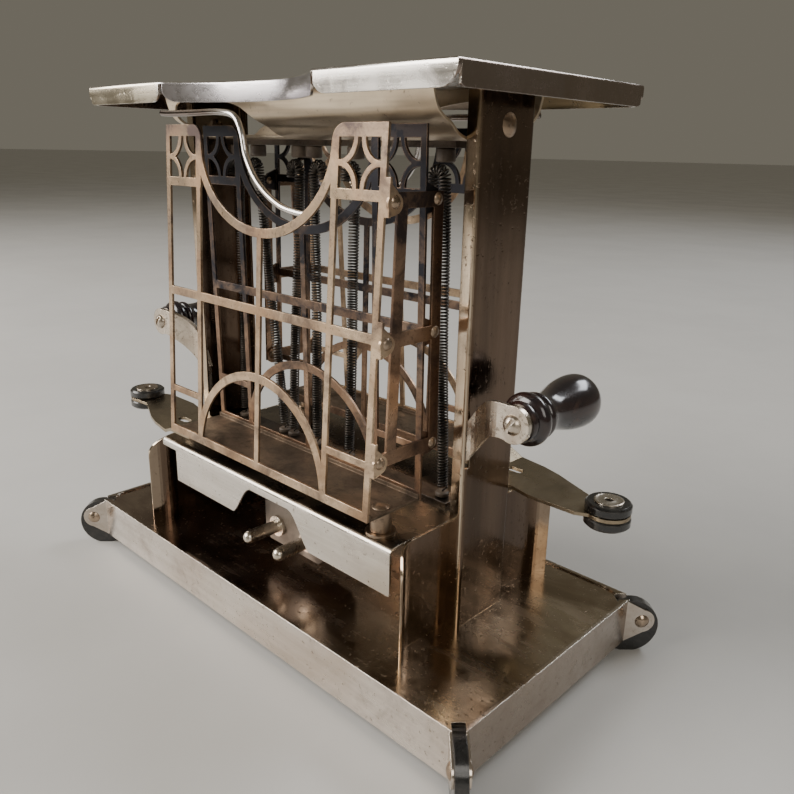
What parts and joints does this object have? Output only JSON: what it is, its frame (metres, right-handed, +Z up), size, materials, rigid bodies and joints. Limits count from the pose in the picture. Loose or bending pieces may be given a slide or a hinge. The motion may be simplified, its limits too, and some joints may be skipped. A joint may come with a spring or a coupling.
{
  "type": "swing-basket toaster",
  "caption": "Nickel-plated electric toaster with a row of bare heating coils between two pierced bread baskets that swing out like doors.",
  "frame": {"origin": "on the table under the middle of the base", "axes": "+X along the length to the right end, front faces -Y, +Z up"},
  "size_m": [0.2264, 0.1154, 0.1941],
  "materials": {
    "nickel_base": "worn bright nickel plate with brown heat stain",
    "nickel_sheet": "worn nickel plate",
    "nickel_plate": "worn nickel plate",
    "nickel_trim": "dulled nickel plate",
    "stained_nickel": "heat-stained nickel",
    "bronzed_grille": "brass-toned heat bloom",
    "oxidised_grille": "dark heat oxide",
    "oxidised_steel": "dark oxide",
    "browned_floor": "baked brown film",
    "brassy_lever": "worn plate over brass",
    "bright_wire": "bright wire",
    "resistance_wire": "dark oxide",
    "black_fibre": "worn pressed fibre",
    "walnut": "dark gloss varnish",
    "porcelain": "unglazed ceramic"
  },
  "bodies": {
    "frame": {"base_pan": "nickel_base", "front_left_foot": "black_fibre", "front_right_foot": "black_fibre", "back_left_foot": "black_fibre", "back_right_foot": "black_fibre", "foot_rivets": "nickel_trim", "shelf": "nickel_sheet", "left_end_panel": "stained_nickel", "right_end_panel": "stained_nickel", "left_post": "stained_nickel", "right_post": "stained_nickel", "post_rivets": "nickel_trim", "top_rail": "nickel_sheet", "top_plate": "nickel_plate", "left_handle_arm": "nickel_trim", "right_handle_arm": "nickel_trim", "left_grip": "walnut", "right_grip": "walnut", "grip_washers": "nickel_trim", "grip_screws": "nickel_trim", "terminal_block": "porcelain", "left_plug_pin": "nickel_trim", "right_plug_pin": "nickel_trim", "upper_element_strip": "oxidised_steel", "lower_element_strip": "oxidised_steel", "upper_insulators": "porcelain", "lower_insulators": "porcelain", "heating_coil_1": "resistance_wire", "heating_coil_2": "resistance_wire", "heating_coil_3": "resistance_wire", "heating_coil_4": "resistance_wire", "heating_coil_5": "resistance_wire", "heating_coil_6": "resistance_wire", "front_bushing": "nickel_trim", "back_bushing": "nickel_trim"},
    "front_basket": {"front_outer_grille": "bronzed_grille", "front_inner_grille": "oxidised_grille", "front_basket_floor": "browned_floor", "front_end_ladder": "oxidised_grille", "front_ladder_rivets": "nickel_trim", "front_latch_wire": "bright_wire", "front_lever": "brassy_lever", "front_upper_button": "black_fibre", "front_lower_button": "black_fibre", "front_eyelet": "nickel_trim", "front_spindle": "nickel_trim", "front_spindle_clip": "nickel_trim"},
    "back_basket": {"back_outer_grille": "bronzed_grille", "back_inner_grille": "oxidised_grille", "back_basket_floor": "browned_floor", "back_end_ladder": "oxidised_grille", "back_ladder_rivets": "nickel_trim", "back_latch_wire": "bright_wire", "back_lever": "brassy_lever", "back_upper_button": "black_fibre", "back_lower_button": "black_fibre", "back_eyelet": "nickel_trim", "back_spindle": "nickel_trim", "back_spindle_clip": "nickel_trim"}
  },
  "joints": [
    {"name": "front_basket_swing", "type": "hinge", "parent": "frame", "child": "front_basket", "pos_m": [0.056, -0.032, 0.0667], "axis": [0, 0, 1], "range_deg": [0, 95]},
    {"name": "back_basket_swing", "type": "hinge", "parent": "frame", "child": "back_basket", "pos_m": [-0.056, 0.032, 0.0667], "axis": [0, 0, 1], "range_deg": [0, 95]}
  ]
}
